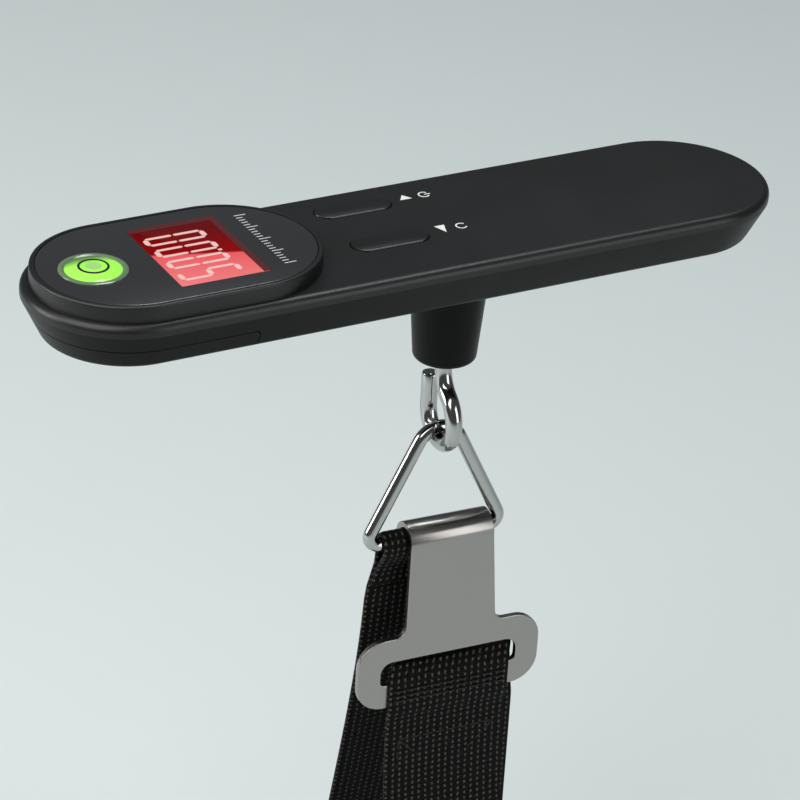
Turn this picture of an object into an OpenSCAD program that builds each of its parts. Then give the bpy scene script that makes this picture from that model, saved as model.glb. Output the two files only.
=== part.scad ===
// Digital luggage scale: a slim grip handle with a display head and a load hook,
// and a webbing strap that hangs on a triangular ring with a hook plate.
// Millimetres. Z is up, X runs along the handle. The origin is on the load line,
// at the height of the joint between the two halves of the handle.

/* [Handle] */
// Length of the handle
body_len = 146; // [146:1:176]
// Width of the handle
body_w = 36; // [35:0.5:44]
// From the display end of the handle to the load line
tip_to_load = 81.8; // [80:0.1:86]
// Height of the top half above the joint line
deck_h = 2.2; // [2.2:0.1:2.8]
// Depth of the bottom half below the joint line
belly_h = 7.2; // [7:0.1:9]
// How far the belly is set in from the joint line
belly_inset = 3.5; // [2:0.1:4]
// Radius of the top edge
deck_r = 1.4; // [0.8:0.1:1.5]
// Radius of the belly edge
belly_r = 1.6; // [0.8:0.1:2]
// Wall of both halves
wall = 1.5; // [1.3:0.1:1.6]

/* [Display head] */
// Length of the raised head
head_len = 52.2; // [51:0.1:56]
// From the end of the handle to the head
head_gap = 1.6; // [1.4:0.1:2.5]
// Width of the raised head
head_w = 33.2; // [32.6:0.1:33.4]
// Height of the head above the deck
head_h = 3; // [3:0.1:4]
// Rim around the lens
head_rim = 1; // [0.8:0.1:1.4]
// Thickness of the display lens
lens_t = 1; // [0.8:0.1:1.2]
// Length of the display window along the handle
window_len = 16.6; // [15:0.1:17]
// Width of the display window
window_w = 23.2; // [20:0.1:23.4]
// From the end of the handle to the display window
window_gap = 23.2; // [22.6:0.1:24]
// Diameter of the bubble level
vial_d = 12.4; // [10:0.1:12.6]
// From the end of the handle to the bubble level
vial_gap = 12.05; // [12:0.05:12.4]

/* [Buttons] */
// Length of a button
button_len = 15; // [12:0.5:16]
// Width of a button
button_w = 5; // [4:0.1:5.4]
// How far a button stands above the deck
button_rise = 0.25; // [0.1:0.05:0.5]
// Travel of a button
button_travel = 0.25; // [0.1:0.05:0.3]
// From the load line to the middle of the buttons
button_x = 14.7; // [13:0.1:15.5]
// Place of the button nearer the middle of the deck
button_near_y = -3.6; // [-4.5:0.1:-3]
// Place of the button nearer the edge of the deck
button_far_y = 10.6; // [9.5:0.1:10.8]

/* [Battery] */
// Length of the battery door
door_len = 36; // [35:0.5:38]
// Height of the upper edge of the door below the joint line
door_top = 3.4; // [3:0.1:3.8]
// Travel of the door before it lifts off
door_travel = 3.5; // [3:0.1:3.6]
// Diameter of the coin cell
cell_d = 20; // [16:0.5:20]
// Thickness of the coin cell
cell_t = 3.2; // [1.6:0.1:3.2]

/* [Load hook] */
// Diameter of the boss where it meets the belly
boss_top_d = 14.2; // [13:0.1:16]
// Diameter of the boss at its lower end
boss_end_d = 11.7; // [10.5:0.1:12.8]
// Length of the boss below the belly
boss_len = 18.2; // [16:0.1:22]
// Diameter of the hook wire
hook_wire = 3.2; // [2.6:0.1:3.6]
// Radius of the hook bend, to the middle of the wire
hook_bend = 5.4; // [5:0.1:6.5]
// Distance from the boss to the middle of the bend
hook_drop = 12.1; // [11:0.1:14]
// How far the bend stands off the load line
hook_jog = 5.7; // [5.2:0.1:6.2]
// Straight length of the hook tip
hook_tip = 6.4; // [4:0.1:7]

/* [Ring and plate] */
// Diameter of the ring wire
ring_wire = 2.6; // [2.2:0.1:3]
// Length of the ring's base between its sharp corners
ring_base = 28.8; // [27:0.1:32]
// Height of the ring between its sharp corners
ring_rise = 28.8; // [26:0.1:32]
// Bend radius at the top of the ring
ring_top_r = 4.6; // [3.8:0.1:5.2]
// Bend radius at the lower corners of the ring
ring_corner_r = 2; // [1.6:0.1:2.4]
// Turn of the hanging parts about the load line
hang_turn = -3.5; // [-8:0.5:0]
// Thickness of the hook plate
plate_t = 1.2; // [1:0.1:1.5]
// Width of the neck of the plate
neck_w = 18.7; // [16:0.1:19]
// Width of the foot of the plate
foot_w = 38; // [36:0.1:42]
// From the ring's bar to the shoulders of the plate
neck_h = 19.4; // [16:0.1:24]
// Height of the foot of the plate
foot_h = 15.2; // [14:0.1:18]
// Width of the slot
slot_w = 28.4; // [27:0.1:29]
// Height of the slot
slot_h = 5; // [4.4:0.1:6]
// Metal above the slot
slot_top = 5.1; // [4:0.1:6]
// Sideways place of the plate on the bar
plate_shift = 3.3; // [2:0.1:3.4]

/* [Strap] */
// Width of the webbing
strap_w = 25; // [22:0.5:25.5]
// Thickness of the webbing
strap_t = 1; // [0.8:0.1:1.2]
// Depth of the strap's loop below the ring's bar
loop_h = 122; // [100:1:160]
// Length of the sewn end below the plate's slot
sewn_len = 26; // [15:1:30]

/* [Hidden] */
$fn = 96;

// Clearances
fit_gap = 0.1;          // lens, display and board seats
slide_gap = 0.15;       // battery door and buttons
run_gap = 0.05;         // radial clearance of running fits
skin = 0.02;            // webbing against metal
bend_draw = 0.02;       // wire drawn thinner through a bend
grip = 0.05;            // straight wire run into each bend
WIRE_FN = 48;
EPS = 0.01;

// Places along the handle
tip_x = -tip_to_load;
half_w = body_w / 2;
deck_z = deck_h;
ceiling_z = deck_z - wall;
belly_z = -belly_h;
floor_z = belly_z + wall;

// Head
head_x = tip_x + head_gap;
head_z = deck_z + head_h;
lens_z = head_z - lens_t;
ledge_t = 0.5;
ledge_z = lens_z - ledge_t;
lens_len = head_len - 2 * head_rim;
lens_w = head_w - 2 * head_rim;
window_x = tip_x + window_gap + window_len / 2;
vial_x = tip_x + vial_gap;

// Board and display stack
board_t = 0.8;
board_top = deck_z - 3;
board_z = board_top - board_t;
board_w = body_w - 2 * wall - 7;
board_gap = 5;
board_len = 73;
lcd_margin = 1.2;
backlight_t = 1.6;
lcd_t = 1.8;
lcd_z = board_top + backlight_t;
frame_wall = 1;
frame_lip = 0.5;
zebra_w = 1.6;
vial_wall = 0.8;
vial_dome = 0.35;
vial_top = head_z + vial_dome;

// Buttons
button_cut = 0.15;
flange_w = 0.9;
switch_t = 0.4;
switch_w = 3.6;
plunger_d = 2;
plunger_t = 0.15;
flange_low = board_top + switch_t + plunger_t + button_travel + run_gap;
flange_t = ceiling_z - run_gap - flange_low;

// Battery
cell_x = tip_x + door_len / 2 + 1.8;
cell_z = floor_z + fit_gap;
shelf_t = 0.6;
shelf_z = board_z - shelf_t;
holder_wall = 1.05;
contact_t = 0.15;
contact_hole = 3;
positive_w = 5;
door_edge = tip_x + door_len;
door_corner = 1.2;
tongue_len = door_travel - 1;
tongue_w = 5;
tongue_t = 0.7;
tongue_y = 7;

// Load path
beam_len = 58;
beam_w = 12;
beam_t = 3.2;
beam_x = -7;
beam_z = floor_z + 0.7;
beam_hole = 4.2;
bracket_t = beam_z - floor_z;
bracket_len = 20;
bracket_x = beam_x + beam_len - bracket_len;
screw_span = 9;
pan_d = 5;
pan_t = 1.2;
m3_d = 3;
washer_t = 0.4;
nut_t = 1.9;
nut_d = 5.5;
boss_end_z = belly_z - boss_len;
boss_bore = 8;
bush_d = 6.4;
bush_len = 5.5;
boss_fillet = 3;
boss_edge = 1;

// Case screws: places of the posts, mirrored across the handle
post_d = 4.4;
post_y = half_w - belly_inset - wall - post_d / 2 - 1.1;
POSTS = [
    [head_x + head_len - 3.6, post_y],
    [22, post_y],
    [beam_x + beam_len + post_d / 2 + 0.2, 0.68 * post_y]
];
screw_d = 1.8;
screw_head_d = 3.6;
screw_seat = 1.1;
screw_sink = 0.4;
screw_grip = 4.5;

// Hanging parts
hook_z = boss_end_z - hook_drop;
hook_y = hook_bend - hook_jog;
hook_jog_start = 2.1;
jog_h = hook_drop - hook_jog_start;
jog_a = 2 * atan(hook_jog / jog_h);
jog_r = jog_h / (2 * sin(jog_a));
nut_seat_z = beam_z + beam_t + washer_t;
ring_half_a = atan(ring_base / 2 / ring_rise);
ring_apex_z = hook_z - hook_bend + (hook_wire + ring_wire) / 2 + run_gap;
ring_tip_z = ring_apex_z + ring_top_r * (1 / sin(ring_half_a) - 1);
bar_z = ring_tip_z - ring_rise;
roll_in = ring_wire / 2 + strap_t + 3 * skin;
roll_out = roll_in + plate_t;
shoulder_z = bar_z - neck_h;
foot_z = shoulder_z - foot_h;
slot_z = shoulder_z - slot_top;
slot_bar_z = slot_z - slot_h;
plate_front = -roll_out;
plate_back = plate_front + plate_t;
roll_side = (ring_base - ring_wire / cos(ring_half_a)) / 2 - roll_out * tan(ring_half_a) - 2 * run_gap;
roll_start = plate_shift - neck_w / 2;
roll_len = min(roll_side, plate_shift + neck_w / 2) - roll_start;
wrap_w = ring_base - 2 * ring_corner_r / tan((90 - ring_half_a) / 2) - 2 * run_gap;

// ---------- outlines ----------
function unit(v) = v / norm(v);
function between(a, b) = acos(unit(a) * unit(b)) / 2;

// Points of an arc about c, from angle a0 through the angle sweep
function arc(c, r, a0, sweep, n = 8) =
    [for (i = [0:n]) c + r * [cos(a0 + sweep * i / n), sin(a0 + sweep * i / n)]];

// One corner rounded by r, with its neighbours before and after
function rounded_corner(before, at, after, r) =
    r == 0 ? [at] :
    let (u = unit(before - at), w = unit(after - at), h = between(u, w),
         c = at + unit(u + w) * r / sin(h),
         s = at + u * r / tan(h) - c, e = at + w * r / tan(h) - c,
         a0 = atan2(s.y, s.x), turn = atan2(e.y, e.x) - a0,
         sweep = turn > 180 ? turn - 360 : turn < -180 ? turn + 360 : turn)
    arc(c, r, a0, sweep);

// An outline given as [x, y, corner radius]
function rounded(p) =
    [for (i = [0:len(p) - 1])
        let (a = p[(i + len(p) - 1) % len(p)], b = p[i], c = p[(i + 1) % len(p)])
        each rounded_corner([a.x, a.y], [b.x, b.y], [c.x, c.y], b.z)];

// A cubic curve through its first and last point
function curve(p, n = 12) =
    [for (i = [0:n - 1]) let (t = i / n, s = 1 - t)
        s * s * s * p[0] + 3 * s * s * t * p[1] + 3 * s * t * t * p[2] + t * t * t * p[3]];

// A band of thickness t along a path
function heading(p, i) = unit(p[min(i + 1, len(p) - 1)] - p[max(i - 1, 0)]);
function side(p, t) =
    [for (i = [0:len(p) - 1]) let (h = heading(p, i)) p[i] + [-h.y, h.x] * t / 2];
function turned(p) = [for (i = [len(p) - 1:-1:0]) p[i]];
function band(p, t) = concat(side(p, t), turned(side(p, -t)));

// ---------- helpers ----------
// A round-ended bar: its half section is drawn with x = 0 on the middle line
module pill_sweep(length, width) {
    straight = length - width;
    translate([width / 2, 0, 0]) rotate([0, 0, 90]) rotate_extrude(angle = 180) children();
    translate([length - width / 2, 0, 0]) rotate([0, 0, -90]) rotate_extrude(angle = 180) children();
    translate([width / 2, 0, 0]) rotate([90, 0, 90]) linear_extrude(straight) {
        children();
        mirror([1, 0]) children();
    }
}

module pill(length, width, h) {
    pill_sweep(length, width) square([width / 2, h]);
}

// A block centred in Y, from x and z upward
module slab(x, z, size) {
    translate([x, -size.y / 2, z]) cube(size);
}

module in_yz() {
    rotate([90, 0, 90]) children();
}

module in_xz() {
    rotate([90, 0, 0]) children();
}

// Round wire along an arc in the XY plane
module wire_arc(c, bend, wire, a0, sweep) {
    translate([c.x, c.y, 0]) rotate([0, 0, a0]) rotate_extrude(angle = sweep, $fn = WIRE_FN)
        translate([bend, 0]) circle(d = wire - bend_draw);
}

// Straight round wire between two points in the XY plane
module wire_line(from, to, wire) {
    run = to - from;
    translate([from.x, from.y, 0]) rotate([0, 0, atan2(run.y, run.x)]) rotate([0, 90, 0])
        translate([0, 0, -grip]) cylinder(h = norm(run) + 2 * grip, d = wire, $fn = WIRE_FN);
}

// Hanging parts are drawn square to the axes, then turned about the load line
module hang() {
    rotate([0, 0, hang_turn]) children();
}

module at_posts() {
    for (p = POSTS, s = [-1, 1]) translate([p.x, s * p.y, 0]) children();
}

// ---------- sections ----------
// Outer half section of the bottom half, shrunk all round by d
module belly_section(d) {
    in_r = half_w - belly_inset - d;
    polygon(rounded([[0, 0, 0], [half_w - d, 0, 0], [in_r, belly_z + d, belly_r], [0, belly_z + d, 0]]));
}

// Outer half section of the top half
module deck_section() {
    polygon(rounded([[0, 0, 0], [half_w, 0, 0], [half_w, deck_z, deck_r], [0, deck_z, 0]]));
}

module belly_solid(d) {
    translate([tip_x + d, 0, 0]) pill_sweep(body_len - 2 * d, body_w - 2 * d) belly_section(d);
}

// Side outline of the battery door, grown by g
module door_outline(g) {
    far = tip_x - 5;
    low = belly_z - 5;
    translate([0, half_w + 5, 0]) in_xz() linear_extrude(body_w + 10)
        polygon(rounded([
            [far, low, 0], [door_edge + g, low, 0],
            [door_edge + g, g - door_top, door_corner], [far, g - door_top, 0]]));
}

// ---------- housing ----------
module head_solid() {
    edge_r = 0.4;
    r = head_w / 2;
    translate([head_x, 0, 0]) pill_sweep(head_len, head_w)
        polygon(concat(
            [[0, ceiling_z], [r, ceiling_z]],
            arc([r - edge_r, head_z - edge_r], edge_r, 0, 90, 5),
            [[0, head_z]]));
}

module upper_shell() {
    head_wall = 1.2;
    color("#26262a") difference() {
        union() {
            translate([tip_x, 0, 0]) difference() {
                pill_sweep(body_len, body_w) deck_section();
                translate([wall, 0, -EPS]) pill(body_len - 2 * wall, body_w - 2 * wall, ceiling_z + EPS);
            }
            head_solid();
            at_posts() translate([0, 0, floor_z]) cylinder(h = ceiling_z - floor_z + EPS, d = post_d);
        }
        // room for the display stack under the head
        translate([head_x + head_wall, 0, -EPS])
            pill(head_len - 2 * head_wall, head_w - 2 * head_wall, ledge_z + EPS);
        translate([head_x + head_rim - fit_gap, 0, lens_z])
            pill(lens_len + 2 * fit_gap, lens_w + 2 * fit_gap, lens_t + 1);
        slab(window_x - window_len / 2 - frame_lip, ledge_z - 1,
            [window_len + 2 * frame_lip, window_w + 2 * frame_lip, ledge_t + 2]);
        translate([vial_x, 0, ledge_z - 1]) cylinder(h = ledge_t + 2, d = vial_d + 2 * fit_gap);
        for (y = [button_near_y, button_far_y])
            translate([-button_x - button_len / 2 - button_cut, y, -EPS])
                pill(button_len + 2 * button_cut, button_w + 2 * button_cut, deck_z + 1);
        at_posts() translate([0, 0, floor_z - EPS]) cylinder(h = screw_grip - 0.4, d = screw_d);
    }
}

module boss_solid() {
    top_r = boss_top_d / 2;
    end_r = boss_end_d / 2;
    root = floor_z;
    rotate_extrude() polygon(concat(
        [[0, root], [top_r + boss_fillet, root]],
        arc([top_r + boss_fillet, belly_z - boss_fillet], boss_fillet, 90, 90),
        rounded_corner([top_r, belly_z - boss_fillet], [end_r, boss_end_z], [0, boss_end_z], boss_edge),
        [[0, boss_end_z]]));
}

module lower_shell() {
    shelf_len = door_len + 1.5;
    color("#1d1d20") difference() {
        union() {
            difference() {
                belly_solid(0);
                difference() {
                    belly_solid(wall);
                    // shelf over the battery bay
                    slab(tip_x, shelf_z, [shelf_len, body_w, shelf_t]);
                }
                translate([tip_x + wall, 0, -EPS]) pill(body_len - 2 * wall, body_w - 2 * wall, 1);
            }
            boss_solid();
        }
        door_outline(slide_gap);
        translate([0, 0, boss_end_z + bush_len]) cylinder(h = boss_len + wall, d = boss_bore);
        translate([0, 0, boss_end_z - 1]) cylinder(h = bush_len + 2, d = bush_d);
        at_posts() {
            translate([0, 0, belly_z - 1]) cylinder(h = wall + 2, d = screw_d + 0.4);
            translate([0, 0, belly_z - 1]) cylinder(h = 1 + screw_seat, d = screw_head_d + 0.2);
        }
        translate([cell_x, 0, shelf_z - 1]) cylinder(h = shelf_t + 2, d = contact_hole);
    }
}

module battery_door() {
    tongue_z = floor_z + fit_gap;
    color("#202023") {
        difference() {
            intersection() {
                belly_solid(0);
                door_outline(0);
            }
            belly_solid(wall);
        }
        for (s = [-1, 1]) translate([door_edge - 1, s * tongue_y - tongue_w / 2, 0]) {
            translate([0, 0, tongue_z]) cube([1 + tongue_len, tongue_w, tongue_t]);
            translate([-1, 0, floor_z - EPS]) cube([2, tongue_w, fit_gap + tongue_t + EPS]);
        }
    }
}

module display_lens() {
    color("#3c3c3f") difference() {
        translate([head_x + head_rim, 0, lens_z]) pill(lens_len, lens_w, lens_t);
        translate([vial_x, 0, lens_z - 1]) cylinder(h = lens_t + 2, d = vial_d);
    }
}

// ---------- display ----------
module lcd_frame() {
    l = window_len + 2 * lcd_margin + 2 * fit_gap;
    w = window_w + 2 * lcd_margin + 2 * fit_gap;
    top = ledge_z - board_top;
    color("#101012") difference() {
        slab(window_x - l / 2 - frame_wall, board_top, [l + 2 * frame_wall, w + 2 * frame_wall, top]);
        slab(window_x - l / 2, board_top - 1, [l, w, lcd_z + lcd_t + fit_gap - board_top + 1]);
        slab(window_x - window_len / 2 - frame_lip, board_top,
            [window_len + 2 * frame_lip, window_w + 2 * frame_lip, top + 1]);
    }
}

module lcd_panel() {
    color("#a01010") slab(window_x - window_len / 2 - lcd_margin, lcd_z,
        [window_len + 2 * lcd_margin, window_w + 2 * lcd_margin, lcd_t]);
}

module lcd_backlight() {
    color("#f03020") slab(window_x - window_len / 2 - lcd_margin + zebra_w, board_top,
        [window_len + 2 * lcd_margin - zebra_w, window_w + 2 * lcd_margin, backlight_t]);
}

module zebra_connector() {
    color("#777777") slab(window_x - window_len / 2 - lcd_margin, board_top,
        [zebra_w - fit_gap, window_w, backlight_t]);
}

// ---------- bubble level ----------

module vial_body() {
    r = vial_d / 2 - fit_gap;
    inner = r - vial_wall;
    color("#cfe8d0") translate([vial_x, 0, 0]) rotate_extrude() polygon(concat(
        [[0, board_top], [r, board_top], [r, head_z]],
        [for (i = [1:6]) [r * cos(90 * i / 6), head_z + vial_dome * sin(90 * i / 6)]],
        [[0, vial_top - vial_wall], [inner, head_z - vial_wall], [inner, board_top + vial_wall],
         [0, board_top + vial_wall]]));
}

module vial_fluid() {
    inner = vial_d / 2 - fit_gap - vial_wall;
    color("#a8f060") translate([vial_x, 0, board_top + vial_wall])
        cylinder(h = head_z - board_top - 2 * vial_wall, r = inner);
}

// ---------- buttons ----------
module button(y) {
    translate([-button_x - button_len / 2, y, flange_low])
        pill(button_len, button_w, deck_z + button_rise - flange_low);
    translate([-button_x - button_len / 2 - flange_w, y, flange_low])
        pill(button_len + 2 * flange_w, button_w + 2 * flange_w, flange_t);
}

module power_button() {
    color("#2a2a2d") button(button_far_y);
}

module unit_button() {
    color("#2a2a2d") button(button_near_y);
}

module tact_switches() {
    color("#b0b0b0") for (y = [button_near_y, button_far_y]) translate([-button_x, y, board_top]) {
        translate([-switch_w / 2, -switch_w / 2, 0]) cube([switch_w, switch_w, switch_t]);
        cylinder(h = switch_t + plunger_t, d = plunger_d);
    }
}

// ---------- electronics ----------
module main_board() {
    color("#1d5c34") difference() {
        translate([tip_x + board_gap, 0, board_z]) pill(board_len, board_w, board_t);
        at_posts() translate([0, 0, board_z - 1]) cylinder(h = board_t + 2, d = post_d + 0.6);
    }
}

module controller_chip() {
    color("#0c0c0c") translate([-33, 0, board_top]) rotate_extrude()
        polygon(concat([[0, 0]], arc([2.6, 0.3], 0.9, -19, 109, 4), [[0, 1.2]]));
}

module battery_holder() {
    color("#303034") translate([cell_x, 0, cell_z]) difference() {
        cylinder(h = shelf_z - cell_z, d = cell_d + 2 * slide_gap + 2 * holder_wall);
        translate([0, 0, -1]) cylinder(h = shelf_z - cell_z + 2, d = cell_d + 2 * slide_gap);
        slab(cell_d / 2 - 1, -1, [4, positive_w + 2 * fit_gap, shelf_z - cell_z + 2]);
    }
}

module coin_cell() {
    lip_h = 0.3;
    color("#c8c8c4") translate([cell_x, 0, cell_z]) {
        cylinder(h = cell_t - lip_h, d = cell_d);
        translate([0, 0, cell_t - lip_h]) cylinder(h = lip_h, d = cell_d - 2.4);
    }
}

module cell_contact_negative() {
    reach = 5;
    color("#c9a86a") {
        translate([cell_x - reach, -1.5, cell_z + cell_t + run_gap]) cube([2 * reach, 3, contact_t]);
        translate([cell_x, 0, cell_z + cell_t + run_gap])
            cylinder(h = board_z - cell_z - cell_t - run_gap, d = contact_hole - 2 * fit_gap);
    }
}

module cell_contact_positive() {
    t = 0.4;
    x = cell_d / 2 + slide_gap;
    color("#c9a86a") translate([cell_x, 0, 0])
        slab(x, cell_z + 0.6, [t, positive_w, shelf_z - cell_z - 0.6]);
}

// ---------- load path ----------
module beam_screws_at() {
    for (s = [-0.5, 0.5]) translate([bracket_x + bracket_len / 2 + s * screw_span, 0, 0]) children();
}

module load_cell() {
    necks = [11, 19];
    color("#b8babd") difference() {
        slab(beam_x, beam_z, [beam_len, beam_w, beam_t]);
        translate([0, 0, beam_z - 1]) cylinder(h = beam_t + 2, d = hook_wire + 2 * run_gap);
        for (x = necks) translate([x, 0, beam_z - 1]) cylinder(h = beam_t + 2, d = beam_hole);
        slab(necks[0], beam_z - 1, [necks[1] - necks[0], beam_hole / 3, beam_t + 2]);
        beam_screws_at() translate([0, 0, beam_z - 1]) cylinder(h = beam_t + 2, d = m3_d);
    }
}

module load_cell_bracket() {
    color("#8c8f92") difference() {
        slab(bracket_x, floor_z, [bracket_len, beam_w + 4, bracket_t]);
        beam_screws_at() translate([0, 0, floor_z - 1]) cylinder(h = bracket_t + 2, d = m3_d);
    }
}

module load_cell_screws() {
    color("#d0d0d0") beam_screws_at() {
        translate([0, 0, floor_z]) cylinder(h = bracket_t + beam_t, d = m3_d);
        difference() {
            translate([0, 0, beam_z + beam_t]) cylinder(h = pan_t, d = pan_d);
            translate([-pan_d, -0.3, beam_z + beam_t + pan_t - 0.5]) cube([2 * pan_d, 0.6, 1]);
            translate([-0.3, -pan_d, beam_z + beam_t + pan_t - 0.5]) cube([0.6, 2 * pan_d, 1]);
        }
    }
}

module gauge_cover() {
    color("#e8e8e2") translate([9, -beam_w / 2 + 1.5, beam_z + beam_t])
        linear_extrude(0.8) polygon(rounded([[0, 0, 1], [12, 0, 1], [12, 9, 1], [0, 9, 1]]));
}

// Flat lead from the gauges to the board, bent down to the beam
module gauge_lead() {
    lead_t = 0.35;
    lead_w = 2;
    low = beam_z + beam_t + 0.8 + lead_t / 2;
    high = board_top + lead_t / 2 + run_gap;
    start = 14;
    finish = tip_x + board_gap + board_len - 3;
    bend = curve([[6.5, low], [5.5, low], [5.5, high], [4.5, high]]);
    path = concat([[start, low]], bend, [[finish, high]]);
    color("#d8d2c0") translate([0, lead_w - beam_w / 2 + fit_gap, 0]) in_xz() linear_extrude(lead_w)
        polygon(band(path, lead_t));
}

module case_screws() {
    color("#9a9da0") at_posts() {
        translate([0, 0, belly_z + screw_sink]) difference() {
            cylinder(h = screw_seat - screw_sink, d = screw_head_d);
            translate([-1.2, -0.25, -1]) cube([2.4, 0.5, 1.5]);
            translate([-0.25, -1.2, -1]) cube([0.5, 2.4, 1.5]);
        }
        translate([0, 0, belly_z + screw_sink + 0.6]) cylinder(h = screw_grip, d = screw_d);
    }
}

// ---------- hook ----------
module hook_bush() {
    color("#b9a05a") translate([0, 0, boss_end_z]) difference() {
        cylinder(h = bush_len, d = bush_d);
        translate([0, 0, -1]) cylinder(h = bush_len + 2, d = hook_wire + 2 * run_gap);
    }
}

module hook() {
    jog_z = boss_end_z - hook_jog_start;
    chamfer = 0.5;
    top = nut_seat_z + nut_t;
    lean = [sin(jog_a), cos(jog_a)];
    mid = [-jog_r + jog_r * cos(jog_a), jog_z - jog_r * sin(jog_a)];
    color("#c8cacc") hang() {
        in_yz() {
            wire_arc([-jog_r, jog_z], jog_r, hook_wire, -jog_a, jog_a);
            wire_arc([jog_r - hook_jog, hook_z], jog_r, hook_wire, 180 - jog_a, jog_a);
            wire_arc([hook_y, hook_z], hook_bend, hook_wire, 180, 180);
            wire_line([0, jog_z], [0, top - grip], hook_wire);
            wire_line(mid - EPS * lean, mid + EPS * lean, hook_wire);
            wire_line([-hook_jog, hook_z - EPS], [-hook_jog, hook_z + EPS], hook_wire);
            wire_line([hook_y + hook_bend, hook_z], [hook_y + hook_bend, hook_z + 1], hook_wire);
        }
        translate([0, hook_y + hook_bend, hook_z]) {
            cylinder(h = hook_tip - chamfer, d = hook_wire, $fn = WIRE_FN);
            translate([0, 0, hook_tip - chamfer])
                cylinder(h = chamfer, d1 = hook_wire, d2 = hook_wire - 2 * chamfer, $fn = WIRE_FN);
        }
    }
}

module thrust_washer() {
    color("#d8d8d8") translate([0, 0, beam_z + beam_t]) difference() {
        cylinder(h = washer_t - run_gap, d = nut_d + 1.5);
        translate([0, 0, -1]) cylinder(h = washer_t + 2, d = hook_wire + 2 * run_gap);
    }
}

module hook_nut() {
    color("#a8a8a8") hang() translate([0, 0, nut_seat_z]) difference() {
        cylinder(h = nut_t, d = nut_d / cos(30), $fn = 6);
        translate([0, 0, -1]) cylinder(h = nut_t + 2, d = hook_wire);
    }
}

// ---------- ring ----------
RING = [[0, ring_tip_z], [-ring_base / 2, bar_z], [ring_base / 2, bar_z]];
RING_R = [ring_top_r, ring_corner_r, ring_corner_r];

module ring() {
    color("#c8cacc") hang() translate([0, hook_y, 0]) in_xz() for (i = [0:2]) {
        a = RING[(i + 2) % 3];
        v = RING[i];
        b = RING[(i + 1) % 3];
        u = unit(a - v);
        w = unit(b - v);
        h = between(u, w);
        next_h = between(v - b, RING[(i + 2) % 3] - b);
        c = v + unit(u + w) * RING_R[i] / sin(h);
        s = v + u * RING_R[i] / tan(h) - c;
        wire_arc(c, RING_R[i], ring_wire, atan2(s.y, s.x), 180 - 2 * h);
        wire_line(v + w * RING_R[i] / tan(h), b - w * RING_R[(i + 1) % 3] / tan(next_h), ring_wire);
    }
}

// ---------- hook plate ----------
module plate_outline() {
    n = neck_w / 2;
    f = foot_w / 2;
    s = slot_w / 2;
    difference() {
        polygon(rounded([
            [-n, bar_z, 0], [-n, shoulder_z, 2.2], [-f, shoulder_z, 5.5], [-f, foot_z, 5.5],
            [f, foot_z, 5.5], [f, shoulder_z, 5.5], [n, shoulder_z, 2.2], [n, bar_z, 0]]));
        polygon(rounded([
            [-s, slot_z, 2.4], [-s, slot_bar_z, 1], [s, slot_bar_z, 1], [s, slot_z, 2.4]]));
    }
}

module hook_plate() {
    color("#9a9896") hang() translate([0, hook_y, 0]) {
        translate([plate_shift, plate_back, 0]) in_xz() linear_extrude(plate_t) plate_outline();
        difference() {
            translate([roll_start, 0, bar_z]) rotate([0, 90, 0]) difference() {
                cylinder(h = roll_len, r = roll_out);
                translate([0, 0, -1]) cylinder(h = roll_len + 2, r = roll_in);
            }
            slab(roll_start - 1, bar_z - 2 * roll_out, [roll_len + 2, 4 * roll_out, 2 * roll_out]);
        }
    }
}

// ---------- strap ----------
// Places across the strap are measured from the ring's bar
lap = strap_t + skin;
wrap_r = ring_wire / 2 + skin;
bar_wrap_y = wrap_r + strap_t / 2;
loop_z = bar_z - loop_h;
front_y = plate_front - skin - strap_t / 2;
back_y = plate_back + skin + strap_t / 2;
sewn_y = (plate_front + plate_back) / 2;
sewn_z = foot_z - 4.5;
sewn_front = sewn_y - lap / 2;
sewn_back = sewn_y + lap / 2;
turn_r = (back_y - front_y) / 2;
bulge = 14;

// Front strand: from the sewn end behind the slot's bar, over the bar and down to the loop
FRONT_TAIL = concat(
    [[sewn_back, sewn_z - sewn_len]],
    curve([[sewn_back, sewn_z], [sewn_back, sewn_z + 3], [back_y, foot_z - 2], [back_y, foot_z]], 6),
    [[back_y, foot_z]]);
FRONT_TOP = arc([sewn_y, slot_bar_z + skin], turn_r, 0, 180, 10);
FRONT_RUN = concat(
    curve([[front_y, foot_z], [front_y, foot_z - 2], [sewn_front, sewn_z + 3], [sewn_front, sewn_z]], 6),
    curve([[sewn_front, sewn_z], [sewn_front, sewn_z - 18],
           [-bulge / 3 - 1.5, loop_z + 56], [-bulge * 0.65, loop_z + 40]]),
    curve([[-bulge * 0.65, loop_z + 40], [-bulge, loop_z + 22], [-bulge * 0.75, loop_z], [3, loop_z]]),
    [[3, loop_z]]);

// Back strand: up from the loop to the ring's bar
BACK_RUN = concat(
    curve([[3, loop_z], [bulge + 3, loop_z], [bulge + 7, loop_z + 20], [bulge + 4, loop_z + 36]]),
    curve([[bulge + 4, loop_z + 36], [bulge, loop_z + 55], [2.2, bar_z - 30], [bar_wrap_y, bar_z - 7]]),
    [[bar_wrap_y, bar_z]]);
back_tail_y = bar_wrap_y - lap;
BACK_TAIL = concat(
    curve([[-bar_wrap_y, bar_z], [-bar_wrap_y, bar_z - 3],
           [back_tail_y, bar_z - 3.5], [back_tail_y, bar_z - 7]], 6),
    [[back_tail_y, bar_z - 7], [back_tail_y, bar_z - 9]]);

module webbing(path) {
    in_yz() linear_extrude(strap_w) polygon(band(path, strap_t));
}

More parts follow.
